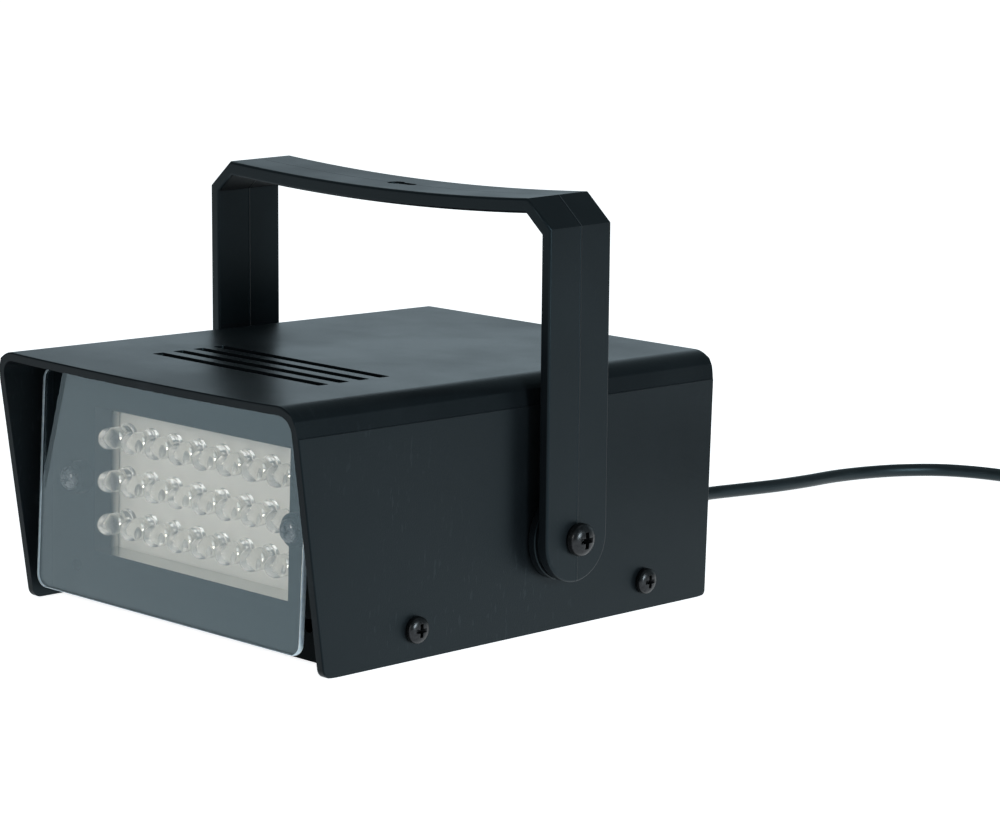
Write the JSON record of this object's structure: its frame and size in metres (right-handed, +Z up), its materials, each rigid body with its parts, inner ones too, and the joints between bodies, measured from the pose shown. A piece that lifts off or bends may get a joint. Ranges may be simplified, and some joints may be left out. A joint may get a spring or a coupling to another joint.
{
  "type": "led strobe light",
  "caption": "Small floor or hanging strobe light: a black moulded hood over a grid of clear lamps behind a clear pane, with a swivelling yoke and a mains cord.",
  "frame": {"origin": "on the surface that the hood's bottom edges stand on, in the middle of the light's width and depth, cord left out", "axes": "+X to the light's left-hand side as it faces the viewer (the viewer's right), +Y from the mouth to the rear panel, +Z up"},
  "size_m": [0.2153, 0.3165, 0.0991],
  "materials": {
    "black_plastic": "fine-grained moulded black plastic",
    "yoke_plastic": "satin moulded black plastic",
    "clear_plastic": "clear polished sheet",
    "led_resin": "water-clear resin",
    "board_white": "white solder mask",
    "board_green": "green laminate",
    "black_steel": "blackened",
    "bright_steel": "plated",
    "sleeve_blue": "sleeved can",
    "knob_plastic": "satin",
    "cord_vinyl": "soft matt vinyl"
  },
  "bodies": {
    "housing": {"hood": "black_plastic", "front_bezel": "black_plastic", "base_tray": "black_plastic", "rear_panel": "black_plastic", "yoke_spacer_left": "black_plastic", "yoke_spacer_right": "black_plastic", "clear_pane": "clear_plastic", "led_1_1": "led_resin", "led_1_2": "led_resin", "led_1_3": "led_resin", "led_1_4": "led_resin", "led_1_5": "led_resin", "led_1_6": "led_resin", "led_1_7": "led_resin", "led_1_8": "led_resin", "led_2_1": "led_resin", "led_2_2": "led_resin", "led_2_3": "led_resin", "led_2_4": "led_resin", "led_2_5": "led_resin", "led_2_6": "led_resin", "led_2_7": "led_resin", "led_2_8": "led_resin", "led_3_1": "led_resin", "led_3_2": "led_resin", "led_3_3": "led_resin", "led_3_4": "led_resin", "led_3_5": "led_resin", "led_3_6": "led_resin", "led_3_7": "led_resin", "led_3_8": "led_resin", "led_board": "board_white", "driver_board": "board_green", "bezel_screw_left": "black_steel", "bezel_screw_right": "black_steel", "cover_screw_front_left": "black_steel", "cover_screw_front_right": "black_steel", "cover_screw_rear_left": "black_steel", "cover_screw_rear_right": "black_steel", "yoke_screw_left": "black_steel", "yoke_screw_right": "black_steel", "potentiometer": "bright_steel", "yoke_nut_left": "bright_steel", "yoke_nut_right": "bright_steel", "plug_pin_left": "bright_steel", "plug_pin_right": "bright_steel", "capacitor": "sleeve_blue", "strain_relief": "cord_vinyl", "cord_run": "cord_vinyl", "cord_coil": "cord_vinyl", "cord_tail": "cord_vinyl", "plug": "cord_vinyl"},
    "yoke": {"yoke": "yoke_plastic"},
    "knob": {"speed_knob": "knob_plastic"}
  },
  "joints": [
    {"name": "yoke_tilt", "type": "hinge", "parent": "housing", "child": "yoke", "pos_m": [0, 0.0094, 0.0219], "axis": [1, 0, 0], "range_deg": [-85, 48]},
    {"name": "knob_turn", "type": "hinge", "parent": "housing", "child": "knob", "pos_m": [0.018, 0.0605, 0.03], "axis": [0, 1, 0], "range_deg": [-150, 150]}
  ]
}
